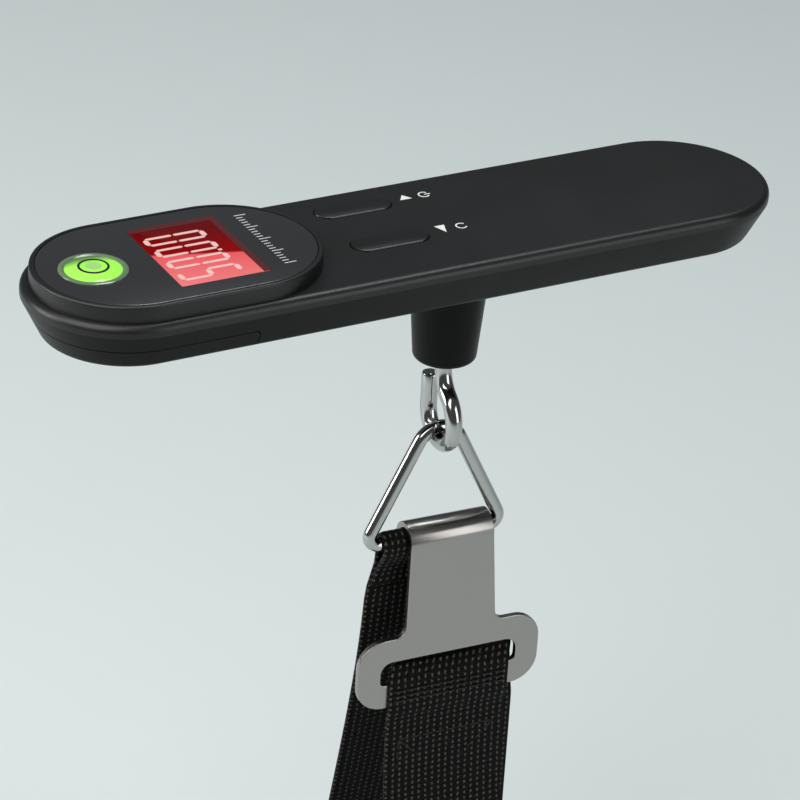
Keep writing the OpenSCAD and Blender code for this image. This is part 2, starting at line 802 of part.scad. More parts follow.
module strap() {
    narrow = (strap_w - wrap_w) / 2;
    color("#141412") hang() translate([0, hook_y, 0]) {
        translate([plate_shift - strap_w / 2, 0, 0]) {
            webbing(FRONT_TAIL_AND_TOP);
            webbing(FRONT_RUN);
        }
        difference() {
            translate([-strap_w / 2, 0, 0]) {
                webbing(BACK_RUN);
                webbing(BACK_TAIL);
                translate([0, 0, bar_z]) rotate([0, 90, 0]) difference() {
                    cylinder(h = strap_w, r = wrap_r + strap_t);
                    slab(0, -1, [2 * roll_out, 4 * roll_out, strap_w + 2]);
                }
            }
            translate([-strap_w, 0, bar_z]) rotate([0, 90, 0]) cylinder(h = 2 * strap_w, r = wrap_r);
            for (s = [-1, 1]) slab(s * (wrap_w + narrow) / 2 - narrow / 2 - (s < 0 ? 1 : 0), bar_z - 3,
                [narrow + 1, 8, 8]);
        }
    }
}
FRONT_TAIL_AND_TOP = concat(FRONT_TAIL, FRONT_TOP, [[front_y, foot_z]]);

upper_shell();
lower_shell();
battery_door();
display_lens();
lcd_frame();
lcd_panel();
lcd_backlight();
zebra_connector();
vial_body();
vial_fluid();
power_button();
unit_button();
tact_switches();
main_board();
controller_chip();
battery_holder();
coin_cell();
cell_contact_negative();
cell_contact_positive();
load_cell();
load_cell_bracket();
load_cell_screws();
gauge_cover();
gauge_lead();
case_screws();
hook_bush();
hook();
thrust_washer();
hook_nut();
ring();
hook_plate();
strap();
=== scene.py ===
import math

import bmesh
import bpy
from bpy.props import FloatProperty, FloatVectorProperty, IntProperty, PointerProperty
from mathutils import Matrix, Vector


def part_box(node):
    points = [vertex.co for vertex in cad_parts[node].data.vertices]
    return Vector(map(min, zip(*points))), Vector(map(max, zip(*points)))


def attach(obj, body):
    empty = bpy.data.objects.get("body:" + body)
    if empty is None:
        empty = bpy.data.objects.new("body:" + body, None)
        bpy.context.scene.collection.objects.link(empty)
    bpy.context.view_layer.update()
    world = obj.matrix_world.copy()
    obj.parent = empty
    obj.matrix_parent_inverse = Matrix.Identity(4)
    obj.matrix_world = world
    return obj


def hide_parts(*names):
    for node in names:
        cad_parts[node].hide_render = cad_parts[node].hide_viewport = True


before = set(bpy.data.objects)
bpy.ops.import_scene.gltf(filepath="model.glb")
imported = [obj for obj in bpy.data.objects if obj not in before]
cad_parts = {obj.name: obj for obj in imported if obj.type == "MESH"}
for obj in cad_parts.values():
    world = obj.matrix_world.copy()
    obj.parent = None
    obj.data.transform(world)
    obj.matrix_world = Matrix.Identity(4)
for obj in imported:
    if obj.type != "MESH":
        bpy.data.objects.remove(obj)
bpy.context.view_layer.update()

bl_info = {
    "name": "Luggage Scale Looks",
    "version": (1, 0, 0),
    "blender": (4, 5, 0),
    "location": "3D View > Sidebar > Luggage Scale",
    "description": "Builds the looks of a digital luggage scale around its packed parts",
    "category": "Object",
}

MM = 0.001

# Shared design sizes, in millimetres, in the row frame
HEAD_Z = 5.2
DECK_Z = 2.2
BOSS_END_Z = -25.4
HANG_TURN = math.radians(-3.5)
HOOK_Y = -0.3
HOOK_Z = -37.5
HOOK_R = 1.6
HOOK_BEND = 5.4
HOOK_JOG = 5.7
JOG_START = 2.1
HOOK_TIP = 6.4
RING_R = 1.3
RING_HALF = 14.4
RING_TOP_R = 4.6
RING_CORNER_R = 2.0
RING_APEX_Z = -39.95
BAR_Z = 1000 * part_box("ring")[0].z + RING_R
PLATE_T = 1.2
NECK_HALF = 9.35
NECK_H = 19.4
FOOT_HALF = 19.0
FOOT_H = 15.2
SLOT_HALF = 14.2
SLOT_TOP = 5.1
SLOT_H = 5.0
ROLL_IN = 2.36
ROLL_OUT = ROLL_IN + PLATE_T
PLATE_SHIFT = 3.3
ROLL_END = 11.06
SHOULDER_Z = BAR_Z - NECK_H
FOOT_Z = SHOULDER_Z - FOOT_H
SLOT_Z = SHOULDER_Z - SLOT_TOP
SLOT_BAR_Z = SLOT_Z - SLOT_H
WEB_T = 1.0
WRAP_W = 21.6
LOOP_H = 122.0
LOOP_Z = BAR_Z - LOOP_H


# ---------- colours and shader nodes ----------
def linear(hex_colour):
    """An sRGB hex colour as linear RGBA."""
    parts = [int(hex_colour[i:i + 2], 16) / 255 for i in (1, 3, 5)]
    return [p / 12.92 if p <= 0.04045 else ((p + 0.055) / 1.055) ** 2.4 for p in parts] + [1.0]


def add(tree, kind, settings=None, inputs=None):
    """Adds a shader node with its settings, and its inputs as values or as (node, output) links."""
    made = tree.nodes.new(kind)
    for key, value in (settings or {}).items():
        setattr(made, key, value)
    for key, value in (inputs or {}).items():
        if isinstance(value, tuple) and isinstance(value[0], bpy.types.Node):
            tree.links.new(value[0].outputs[value[1]], made.inputs[key])
        else:
            made.inputs[key].default_value = value
    return made


def new_material(name):
    """An empty material with one shader on its surface."""
    material = bpy.data.materials.new(name)
    material.use_nodes = True
    tree = material.node_tree
    tree.nodes.clear()
    shader = add(tree, "ShaderNodeBsdfPrincipled")
    add(tree, "ShaderNodeOutputMaterial", inputs={"Surface": (shader, "BSDF")})
    return material, tree, shader


def set_inputs(node, **values):
    """Constant values on a node's own sockets."""
    for key, value in values.items():
        node.inputs[key.replace("_", " ")].default_value = value


def grain(tree, shader, grain_mm, depth_mm, rough_low, rough_high, stretch=(1, 1, 1)):
    """Fine surface grain: bump and a slight spread of roughness at the grain's real size."""
    place = add(tree, "ShaderNodeTexCoord")
    scaled = add(tree, "ShaderNodeMapping", inputs={"Vector": (place, "Object"), "Scale": stretch})
    fine = add(tree, "ShaderNodeTexNoise", inputs={
        "Vector": (scaled, "Vector"), "Scale": 1 / (grain_mm * MM), "Detail": 3.0, "Roughness": 0.55})
    broad = add(tree, "ShaderNodeTexNoise", inputs={
        "Vector": (place, "Object"), "Scale": 1 / (14 * MM), "Detail": 4.0})
    mixed = add(tree, "ShaderNodeMath", {"operation": "MULTIPLY_ADD"}, {
        0: (fine, "Fac"), 1: 0.9, 2: (broad, "Fac")})
    spread = add(tree, "ShaderNodeMapRange", inputs={
        "Value": (mixed, "Value"), "From Min": 0.5, "From Max": 1.4,
        "To Min": rough_low, "To Max": rough_high})
    bump = add(tree, "ShaderNodeBump", inputs={
        "Height": (fine, "Fac"), "Distance": depth_mm * MM, "Strength": 0.6})
    tree.links.new(spread.outputs["Result"], shader.inputs["Roughness"])
    tree.links.new(bump.outputs["Normal"], shader.inputs["Normal"])


def plastic(name, colour, grain_mm=0.12, depth_mm=0.012, rough=(0.34, 0.46), gloss=0.5):
    """A moulded or printed plastic: colour, moulded grain and how strongly it mirrors."""
    material, tree, shader = new_material(name)
    set_inputs(shader, Base_Color=linear(colour), IOR=1.54, Specular_IOR_Level=gloss)
    grain(tree, shader, grain_mm, depth_mm, *rough)
    return material


def metal(name, colour, rough=(0.06, 0.12), grain_mm=0.3, depth_mm=0.001, stretch=(1, 1, 1),
          lengthwise=0.0):
    """A bare or plated metal: tint, finish, and how far its lines of polish draw out the highlight."""
    material, tree, shader = new_material(name)
    set_inputs(shader, Base_Color=linear(colour), Metallic=1.0, Anisotropic=lengthwise)
    grain(tree, shader, grain_mm, depth_mm, *rough, stretch)
    return material


def glowing(name, colour, strength):
    """Something that glows, flat and even whatever the light outside: parts lit from within, and also painted
    glow and painted shade.
    """
    material, _, shader = new_material(name)
    set_inputs(shader, Base_Color=linear("#120405"), Roughness=0.5, IOR=1.5,
               Emission_Color=linear(colour), Emission_Strength=strength)
    return material


def lcd_material():
    """Back-lit red LCD under gloss acrylic, with a painted reflection: pale pink towards one corner, deep red
    beyond a soft edge.
    """
    material, tree, shader = new_material("Red backlit LCD under polished acrylic, painted reflection")
    place = add(tree, "ShaderNodeTexCoord")
    parts = add(tree, "ShaderNodeSeparateXYZ", inputs={"Vector": (place, "Generated")})
    # Painted reflection: a pale wash over part of the window, ending at a soft diagonal edge
    across = add(tree, "ShaderNodeMath", {"operation": "MULTIPLY_ADD"}, {
        0: (parts, "X"), 1: 0.203, 2: (parts, "Y")})
    ramp = add(tree, "ShaderNodeValToRGB", inputs={"Fac": (across, "Value")})
    painted_reflection_stops = ramp.color_ramp.elements
    painted_reflection_stops[0].color, painted_reflection_stops[1].color = linear("#f58487"), linear("#600104")
    for position, colour in ((0.525, "#ee6064"), (0.555, "#8c0307")):
        painted_reflection_stops.new(position).color = linear(colour)
    tree.links.new(ramp.outputs["Color"], shader.inputs["Emission Color"])
    set_inputs(shader, Base_Color=linear("#1c0203"), Roughness=0.12, IOR=1.49, Emission_Strength=0.95,
               Specular_IOR_Level=0.05)
    return material


def webbing_material():
    """Black polyester webbing: crossed ribs in relief, with painted grey glints where filaments would catch
    the light.
    """
    material, tree, shader = new_material("Black polyester webbing, basket weave")
    place = add(tree, "ShaderNodeTexCoord")
    parts = add(tree, "ShaderNodeSeparateXYZ", inputs={"Vector": (place, "UV")})
    waves = []
    for axis, pitch_mm in (("X", 1.4), ("Y", 1.2)):
        turns = add(tree, "ShaderNodeMath", {"operation": "MULTIPLY"}, {
            0: (parts, axis), 1: 2 * math.pi / (pitch_mm * MM)})
        waves.append(add(tree, "ShaderNodeMath", {"operation": "SINE"}, {0: (turns, "Value")}))
    column = add(tree, "ShaderNodeMath", {"operation": "MAXIMUM"}, {0: (waves[0], "Value"), 1: 0.0})
    rows = add(tree, "ShaderNodeMath", {"operation": "MULTIPLY_ADD"}, {
        0: (waves[1], "Value"), 1: 0.5, 2: 0.5})
    cross = add(tree, "ShaderNodeMath", {"operation": "MULTIPLY"}, {
        0: (column, "Value"), 1: (rows, "Value")})
    # A filament is some 0.02 mm thick: its glints are drawn in clumps of 0.35 mm, coarser than life
    fibre = add(tree, "ShaderNodeTexNoise", inputs={
        "Vector": (place, "UV"), "Scale": 1 / (0.35 * MM), "Detail": 3.0})
    lift = add(tree, "ShaderNodeMath", {"operation": "MULTIPLY_ADD"}, {
        0: (fibre, "Fac"), 1: 2.2, 2: (cross, "Value")})
    # Painted glints: grey mixed into the colour where the ribs and the fibre noise rise highest
    glint = add(tree, "ShaderNodeMapRange", inputs={
        "Value": (lift, "Value"), "From Min": 1.35, "From Max": 2.3, "To Min": 0.0, "To Max": 1.0})
    tint = add(tree, "ShaderNodeMix", {"data_type": "RGBA"}, {
        "Factor": (glint, "Result"), "A": linear("#040403"), "B": linear("#64625b")})
    bump = add(tree, "ShaderNodeBump", inputs={
        "Height": (lift, "Value"), "Distance": 0.12 * MM, "Strength": 1.0})
    tree.links.new(tint.outputs["Result"], shader.inputs["Base Color"])
    tree.links.new(bump.outputs["Normal"], shader.inputs["Normal"])
    set_inputs(shader, Roughness=0.6, IOR=1.5, Specular_IOR_Level=0.1)
    return material


# ---------- outlines and meshes ----------
def arc(centre, radius, start, sweep, steps):
    """Points of an arc in the plane, in degrees."""
    angles = [math.radians(start + sweep * i / steps) for i in range(steps + 1)]
    return [(centre[0] + radius * math.cos(a), centre[1] + radius * math.sin(a)) for a in angles]


def arc3(centre, radius, start, sweep, steps, plane):
    """Points of an arc in a plane given by a function."""
    return [plane(*p) for p in arc(centre, radius, start, sweep, steps)]


def rounded(points, steps=10):
    """An outline given as (x, y, corner radius), with its corners turned into arcs."""
    out = []
    count = len(points)
    for i, (x, y, radius) in enumerate(points):
        if radius == 0:
            out.append((x, y))
            continue
        at = Vector((x, y))
        u = (Vector(points[i - 1][:2]) - at).normalized()
        w = (Vector(points[(i + 1) % count][:2]) - at).normalized()
        half = u.angle(w) / 2
        centre = at + (u + w).normalized() * radius / math.sin(half)
        first = at + u * radius / math.tan(half) - centre
        last = at + w * radius / math.tan(half) - centre
        start = math.degrees(math.atan2(first.y, first.x))
        sweep = (math.degrees(math.atan2(last.y, last.x)) - start + 180) % 360 - 180
        out += arc(centre, radius, start, sweep, steps)
    return out


def bezier(p, steps=14):
    """Points of a cubic curve without its last point."""
    out = []
    for i in range(steps):
        t = i / steps
        s = 1 - t
        out.append(tuple(s ** 3 * a + 3 * s * s * t * b + 3 * s * t * t * c + t ** 3 * d
                         for a, b, c, d in zip(*p)))
    return out


def mesh_object(name, verts, faces, material, body, uvs=None, angle=32, replaces=(), slot=None):
    """A smooth-shaded mesh from millimetre points, riding on a body."""
    mesh = bpy.data.meshes.new(name)
    mesh.from_pydata([tuple(MM * c for c in v) for v in verts], [], faces)
    if uvs:
        layer = mesh.uv_layers.new(name="UVMap")
        for loop in mesh.loops:
            layer.data[loop.index].uv = [MM * c for c in uvs[loop.vertex_index]]
    mesh.validate()
    bm = bmesh.new()
    bm.from_mesh(mesh)
    bmesh.ops.recalc_face_normals(bm, faces=bm.faces)
    bm.to_mesh(mesh)
    bm.free()
    mesh.shade_smooth()
    mesh.set_sharp_from_angle(angle=math.radians(angle))
    mesh.materials.append(material)
    made = bpy.data.objects.new(name, mesh)
    bpy.context.scene.collection.objects.link(made)
    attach(made, body)
    if replaces:
        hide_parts(*replaces)


def printed(name, outlines, z, material, body, slot, thick=0.03):
    """A layer of ink or film: each flat outline raised to a thin solid at height z."""
    verts, faces = [], []
    for outline in outlines:
        piece, skins = loft([[(x, y, z + h) for x, y in outline] for h in (0, thick)])
        faces += [tuple(i + len(verts) for i in skin) for skin in skins]
        verts += piece
    mesh_object(name, verts, faces, material, body, slot=slot)


def pill_points(x0, x1, radius, steps=48):
    """A stadium's outline about the two centres x0 and x1 on the handle's middle line."""
    right = arc((x1, 0), radius, -90, 180, steps)
    left = arc((x0, 0), radius, 90, 180, steps)
    return right + left


def loft(rings, closed_ends=True):
    """Faces between rings of equal length, each ring closed, with flat ends."""
    verts = [p for ring in rings for p in ring]
    count = len(rings[0])
    faces = []
    for first in range(0, (len(rings) - 1) * count, count):
        for i in range(count):
            j = (i + 1) % count
            faces.append((first + i, first + j, first + count + j, first + count + i))
    if closed_ends:
        faces.append(tuple(reversed(range(count))))
        faces.append(tuple(range((len(rings) - 1) * count, len(rings) * count)))
    return verts, faces


def pill_loft(x0, x1, y, profile, steps=48):
    """A round-ended bar from (radius, height) steps."""
    return loft([[(px, py + y, z) for px, py in pill_points(x0, x1, r, steps)] for r, z in profile])


def slab(outline, t, place, bevel=0.12):
    """A flat plate with softened edges: outline in its own plane, thickness t, put in place by a function."""
    count = len(outline)
    rings = []
    for inset, h in ((bevel, 0), (bevel * 0.3, bevel * 0.3), (0, bevel), (0, t - bevel),
                     (bevel * 0.3, t - bevel * 0.3), (bevel, t)):
        ring = []
        for i in range(count):
            a, b, c = (Vector(outline[j % count]) for j in (i - 1, i, i + 1))
            along = (c - a).normalized()
            ring.append(place(b.x - along.y * inset, b.y + along.x * inset, h))
        rings.append(ring)
    return loft(rings)


def tube(points, radius, steps=32):
    """Rings of a round wire along a path, without a twist between them."""
    rings = []
    pts = [Vector(p) for p in points]
    side = Vector((1, 0.01, 0))
    total = len(pts)
    for i, p in enumerate(pts):
        ahead = (pts[min(i + 1, total - 1)] - pts[max(i - 1, 0)]).normalized()
        side = (side - ahead * side.dot(ahead)).normalized()
        up = ahead.cross(side)
        rings.append([tuple(p + radius * (math.cos(a) * side + math.sin(a) * up))
                      for a in (2 * math.pi * k / steps for k in range(steps))])
    return rings


def hung(point):
    """A point of the hanging parts, turned about the load line."""
    return tuple(Matrix.Rotation(HANG_TURN, 3, "Z") @ Vector(point))


def hung_verts(verts):
    """All the points of a hanging piece, turned about the load line."""
    return [hung(v) for v in verts]


def tidy_copy(node, material, body, bevel_mm=0.0, angle=28, merge_flats=True):
    """A CAD node as one welded, smooth-shaded mesh that stands for it."""
    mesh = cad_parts[node].data.copy()
    bm = bmesh.new()
    bm.from_mesh(mesh)
    bmesh.ops.remove_doubles(bm, verts=bm.verts, dist=0.002 * MM)
    if merge_flats:
        bmesh.ops.dissolve_limit(bm, angle_limit=math.radians(0.5), verts=bm.verts, edges=bm.edges)
    bm.to_mesh(mesh)
    bm.free()
    mesh.materials.clear()
    mesh.materials.append(material)
    if mesh.attributes.get("custom_normal"):
        mesh.attributes.remove(mesh.attributes["custom_normal"])
    mesh.shade_smooth()
    mesh.set_sharp_from_angle(angle=math.radians(angle))
    made = bpy.data.objects.new("visual_" + node, mesh)
    bpy.context.scene.collection.objects.link(made)
    if bevel_mm:
        soften = made.modifiers.new("edges", "BEVEL")
        soften.width = bevel_mm * MM
        soften.segments = 3
        soften.limit_method = "ANGLE"
        soften.angle_limit = math.radians(angle)
    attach(made, body)
    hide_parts(node)


# ---------- settings ----------
class HousingSettings(bpy.types.PropertyGroup):
    """Looks of the moulded case."""
    edge: FloatProperty(name="Edge", description="Softening of moulded edges",
                        default=0.12 * MM, min=0, unit="LENGTH", precision=5)
    grain: FloatProperty(name="Grain", description="Size of the spark-eroded grain",
                         default=0.12 * MM, min=0.02 * MM, unit="LENGTH", precision=5)


class StrapSettings(bpy.types.PropertyGroup):
    """Looks of the webbing."""
    width: FloatProperty(name="Width", description="Width of the webbing",
                         default=25 * MM, min=10 * MM, unit="LENGTH", precision=4)
    stitch: FloatProperty(name="Stitch", description="Length of a stitch",
                          default=2.4 * MM, min=0.5 * MM, unit="LENGTH", precision=4)
    thread: FloatProperty(name="Thread", description="Thickness of the thread",
                          default=0.3 * MM, min=0.1 * MM, unit="LENGTH", precision=5)
    ribs: IntProperty(name="Ribs", description="Columns of the mesh across the webbing", default=26, min=4)


class StageSettings(bpy.types.PropertyGroup):
    """Floor and lights."""
    floor: FloatVectorProperty(name="Floor", description="Colour of the floor, linear", subtype="COLOR",
                               size=3, default=(0.61, 0.66, 0.66))
    key: FloatProperty(name="Key", description="Power of the main softbox", default=9.5, min=0, unit="POWER")
    fill: FloatProperty(name="Fill", description="Strength of the room's light", default=0.12, min=0)


class ScaleSettings(bpy.types.PropertyGroup):
    """Everything that can be set."""
    housing: PointerProperty(type=HousingSettings)
    strap: PointerProperty(type=StrapSettings)
    stage: PointerProperty(type=StageSettings)


# ---------- pieces ----------
class LSCALE_OT_housing(bpy.types.Operator):
    """Build the two halves of the case, the battery door and the case screws"""
    bl_idname = "lscale.housing"
    bl_label = "Build Housing"

    def execute(self, context):
        settings = context.scene.lscale.housing
        # Moulded satin: near black, with soft wide highlights and a fine grain
        top = plastic("Black ABS, injection moulded, fine spark-eroded satin", "#131314", settings.grain / MM,
                      gloss=0.4)
        # The same plastic, duller and darkened as painted shade, so the belly falls away into black
        under = plastic("Black ABS, injection moulded, satin belly", "#0b0b0b", settings.grain / MM,
                        gloss=0.1)
        for node, material, body in (("upper_shell", top, "handle"), ("lower_shell", under, "handle"),
                                     ("battery_door", under, "door")):
            # Merged flats would close over the lower shell's open top once its edges are bevelled
            tidy_copy(node, material, body, settings.edge / MM, merge_flats=node != "lower_shell")
        # Blackened steel: a dull grey glint in each recess
        screws = metal("Carbon steel screws, blackened", "#3a3a3c", (0.3, 0.45))
        tidy_copy("case_screws", screws, "handle")
        return {"FINISHED"}


class LSCALE_OT_display(bpy.types.Operator):
    """Build the tinted lens, the lit window and its figures"""
    bl_idname = "lscale.display"
    bl_label = "Build Display"

    def execute(self, context):
        low, high = (1000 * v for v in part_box("display_lens"))
        radius = (high.y - low.y) / 2
        # Smoked acrylic, drawn opaque: smoother than the case, so its highlight is tighter and a little paler
        tint = plastic("Smoked acrylic, hard-coated, semi-gloss", "#2a2a2d", 0.3, 0.002, (0.2, 0.27))
        profile = [(radius, low.z), (radius, high.z - 0.25), (radius - 0.07, high.z - 0.07),
                   (radius - 0.25, high.z)]
        mesh_object("lens", *pill_loft(low.x + radius, high.x - radius, 0, profile), tint, "handle",
                    replaces=("display_lens",))
        lcd_low, lcd_high = (1000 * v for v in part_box("lcd_panel"))
        margin = 1.2
        x0, x1 = lcd_low.x + margin, lcd_high.x - margin
        y0, y1 = lcd_low.y + margin, lcd_high.y - margin
        outline = rounded([(x0, y0, 0.3), (x1, y0, 0.3), (x1, y1, 0.3), (x0, y1, 0.3)], 4)
        mesh_object("lcd_window", *slab(outline, 0.06, lambda x, y, h: (x, y, high.z + h), 0.02),
                    lcd_material(), "handle", replaces=("lcd_panel",))
        # Painted shade: deep red strips along two sides of the window, where its recessed wall shades the
        # cell
        painted_wall_shade = glowing("Painted shade of the window's wall, deep red", "#4d0103", 0.9)
        side_w, end_w = 1.6, 1.3
        strips = [((x0, y1 - side_w), (x1, y1)), ((x1 - end_w, y0), (x1, y1 - side_w))]
        printed("lcd_wall_shade", [[(ax, ay), (bx, ay), (bx, by), (ax, by)] for (ax, ay), (bx, by) in strips],
                high.z + 0.055, painted_wall_shade, "handle", "lcd")
        self.figures(x0, y0, high.z + 0.08)
        tick_gap = 3.4
        self.ticks(x1 + tick_gap, high.z - 0.01)
        return {"FINISHED"}

    def figures(self, x0, y0, z):
        """Seven-segment figures, read towards +Y with their tops towards -X."""
        # Segments that let the lamp through: pale pink, sharp-edged
        ink = glowing("Lit pale segments", "#ffcfca", 0.85)
        tall, wide, gap, pitch = 10.6, 2.5, 0.12, 4.68
        bar_w, stem_w, dot_x, dot_y = 0.95, 0.68, 0.35, 0.3
        top, first = x0 + 1.35, y0 + 1.98
        half = tall / 2
        parts = {"a": ((0, 0), (0, wide)), "g": ((half, 0), (half, wide)), "d": ((tall, 0), (tall, wide)),
                 "f": ((0, 0), (half, 0)), "e": ((half, 0), (tall, 0)),
                 "b": ((0, wide), (half, wide)), "c": ((half, wide), (tall, wide))}
        shown = {"5": "afgcd", "0": "abcdef"}
        segments = []
        for i, figure in enumerate("5000"):
            start = first + i * pitch
            for key in shown[figure]:
                a, b = (Vector((top + px, start + py)) for px, py in parts[key])
                thick = bar_w if key in "agd" else stem_w
                along = (b - a).normalized()
                across = Vector((-along.y, along.x)) * thick / 2
                tip, point = along * gap, along * (gap + thick / 2)
                segments.append([a + tip, a + point + across, b - point + across, b - tip,
                                 b - point - across, a + point - across])
        # The point stands between the second figure and the third
        x, y = top + tall, first + pitch + wide + 1.2
        segments.append([(x - dot_x, y - dot_y), (x + dot_x, y - dot_y),
                         (x + dot_x, y + dot_y), (x - dot_x, y + dot_y)])
        printed("lcd_figures", segments, z, ink, "handle", "lcd")

    def ticks(self, x, z):
        """Plain graduation ticks beside the window."""
        # Dull white ink, flat against the lens's gloss
        white = plastic("White screen-printed ticks", "#c4c4c4", 0.2, 0.001, (0.5, 0.6))
        outlines = []
        half_w, long, short = 0.11, 2.2, 1.2
        for y in range(-10, 11):
            tall = long if y % 5 == 0 else short
            left, right = y - half_w, y + half_w
            outlines.append([(x, left), (x + tall, left), (x + tall, right), (x, right)])
        printed("lens_ticks", outlines, z, white, "handle", "lens")


class LSCALE_OT_level(bpy.types.Operator):
    """Build the bubble level: clear rim, dyed fluid, bubble and ring mark"""
    bl_idname = "lscale.level"
    bl_label = "Build Level"

    def execute(self, context):
        low, high = (1000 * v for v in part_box("vial_body"))
        cx, radius = (low.x + high.x) / 2, (high.x - low.x) / 2
        rim_z = HEAD_Z
        # Clear rim over black, drawn opaque, its pale colour painted light: a pale, wet-looking grey-green
        # ring
        clear = plastic("Clear acrylic drawn opaque, painted light", "#5f7459", 1.5, 0.001, (0.04, 0.07))
        # Black ink, matt, crisp against the fluid
        black = plastic("Black screen-printed ring", "#0a0a0a", 0.3, 0.001, (0.4, 0.5))

        def lathe(name, profile, material, centre=(cx, 0), **more):
            rings = [[(x, y, z) for x, y in arc(centre, r, 0, 360, 64)[:-1]] for r, z in profile]
            mesh_object(name, *loft(rings), material, "handle", **more)

        lip = [(radius, low.z), (radius, rim_z - 0.1), (radius - 0.1, rim_z + 0.15),
               (radius - 0.4, rim_z + 0.3), (radius - 0.8, rim_z + 0.28), (radius - 1.1, rim_z + 0.1),
               (radius - 1.1, rim_z - 0.5)]
        lathe("vial_rim", lip, clear, replaces=("vial_body",))
        inner, rise = radius - 1.0, 0.75
        crown = [(inner * math.cos(t), rim_z - 0.05 + rise * math.sin(t)) for t in
                 (math.pi / 2 * k / 12 for k in range(12))]
        lathe("vial_glow", [(inner, low.z + 0.8)] + crown, self.fluid(), replaces=("vial_fluid",))
        # Painted glow: the bubble is drawn pale where the air lies against the dome
        air = glowing("Air bubble under acrylic, painted glow", "#a9ec7c", 0.85)
        crest = rim_z + rise
        lathe("vial_bubble", [(1.5, crest - 0.12), (1.45, crest - 0.06), (0.3, crest - 0.01)], air,
              slot="fluid")
        # The mark's own section, as (radius, height), sunk into the dome
        band = [(2.75, 0.55), (2.75, 0.68), (2.35, 0.72), (2.35, 0.55)]
        rings = [[(x, y, rim_z + z) for x, y in arc((cx, 0), r, 0, 360, 64)[:-1]] for r, z in band + band[:1]]
        mesh_object("vial_mark", *loft(rings, False), black, "handle", slot="fluid")
        return {"FINISHED"}

    def fluid(self):
        """Dyed spirit with painted shade and a painted glow: darker at the back of the vial and brighter
        towards its front.
        """
        material, tree, shader = new_material("Yellow-green spirit, painted glow and shade")
        place = add(tree, "ShaderNodeTexCoord")
        parts = add(tree, "ShaderNodeSeparateXYZ", inputs={"Vector": (place, "Generated")})
        blend = add(tree, "ShaderNodeMapRange", {"interpolation_type": "SMOOTHSTEP"}, {
            "Value": (parts, "Y"), "From Min": 0.55, "From Max": 0.9})
        painted_shade_tone = add(tree, "ShaderNodeMix", {"data_type": "RGBA"}, {
            "Factor": (blend, "Result"), "A": linear("#8edc4e"), "B": linear("#4c6a40")})
        tree.links.new(painted_shade_tone.outputs["Result"], shader.inputs["Base Color"])
        tree.links.new(painted_shade_tone.outputs["Result"], shader.inputs["Emission Color"])
        # Emission: a painted glow, even whatever the light outside
        set_inputs(shader, Roughness=0.08, IOR=1.49, Emission_Strength=0.35)
        return material


class LSCALE_OT_buttons(bpy.types.Operator):
    """Build the two push buttons and the marks printed beside them"""
    bl_idname = "lscale.buttons"
    bl_label = "Build Buttons"

    def execute(self, context):
        # A touch glossier than the deck, so the caps' rims catch the light
        cap = plastic("Black ABS button, fine satin", "#131314", 0.1, 0.01, (0.28, 0.36))
        for node, body in (("power_button", "power_key"), ("unit_button", "unit_key")):
            low, high = (1000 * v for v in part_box(node))
            flange, step = 0.9, 0.6
            radius = (high.y - low.y) / 2 - flange
            y = (low.y + high.y) / 2
            x0, x1 = low.x + flange + radius, high.x - flange - radius
            profile = [(radius + flange, low.z + 0.12), (radius + flange, low.z + step),
                       (radius, low.z + step), (radius, high.z - 0.22),
                       (radius - 0.07, high.z - 0.07), (radius - 0.25, high.z)]
            mesh_object("cap_" + node, *pill_loft(x0, x1, y, profile, 24), cap, body, replaces=(node,))
        self.marks()
        return {"FINISHED"}

    def marks(self):
        """White pad-printed arrows and plain symbols."""
        # Opaque ink: flat white against the satin
        white = plastic("White pad-printed ink", "#d8d8d8", 0.2, 0.001, (0.5, 0.6))
        # Two arrows and a short bar, then a pair of open rings
        outlines = [[(-5.1, 10.4), (-2.7, 10.4), (-3.9, 12.2)],
                    [(-4.7, -1.5), (-3.7, -4.3), (-2.7, -1.5)],
                    [(0.1, 10.87), (1.3, 10.87), (1.3, 11.13), (0.1, 11.13)]]
        outer_r, inner_r, start, sweep = 1.1, 0.82, 35, 290
        for centre in ((0.0, 11.0), (0.0, -3.0)):
            outlines.append(arc(centre, outer_r, start, sweep, 20)
                            + arc(centre, inner_r, start + sweep, -sweep, 20))
        printed("deck_marks", outlines, DECK_Z - 0.01, white, "handle", "case_top")


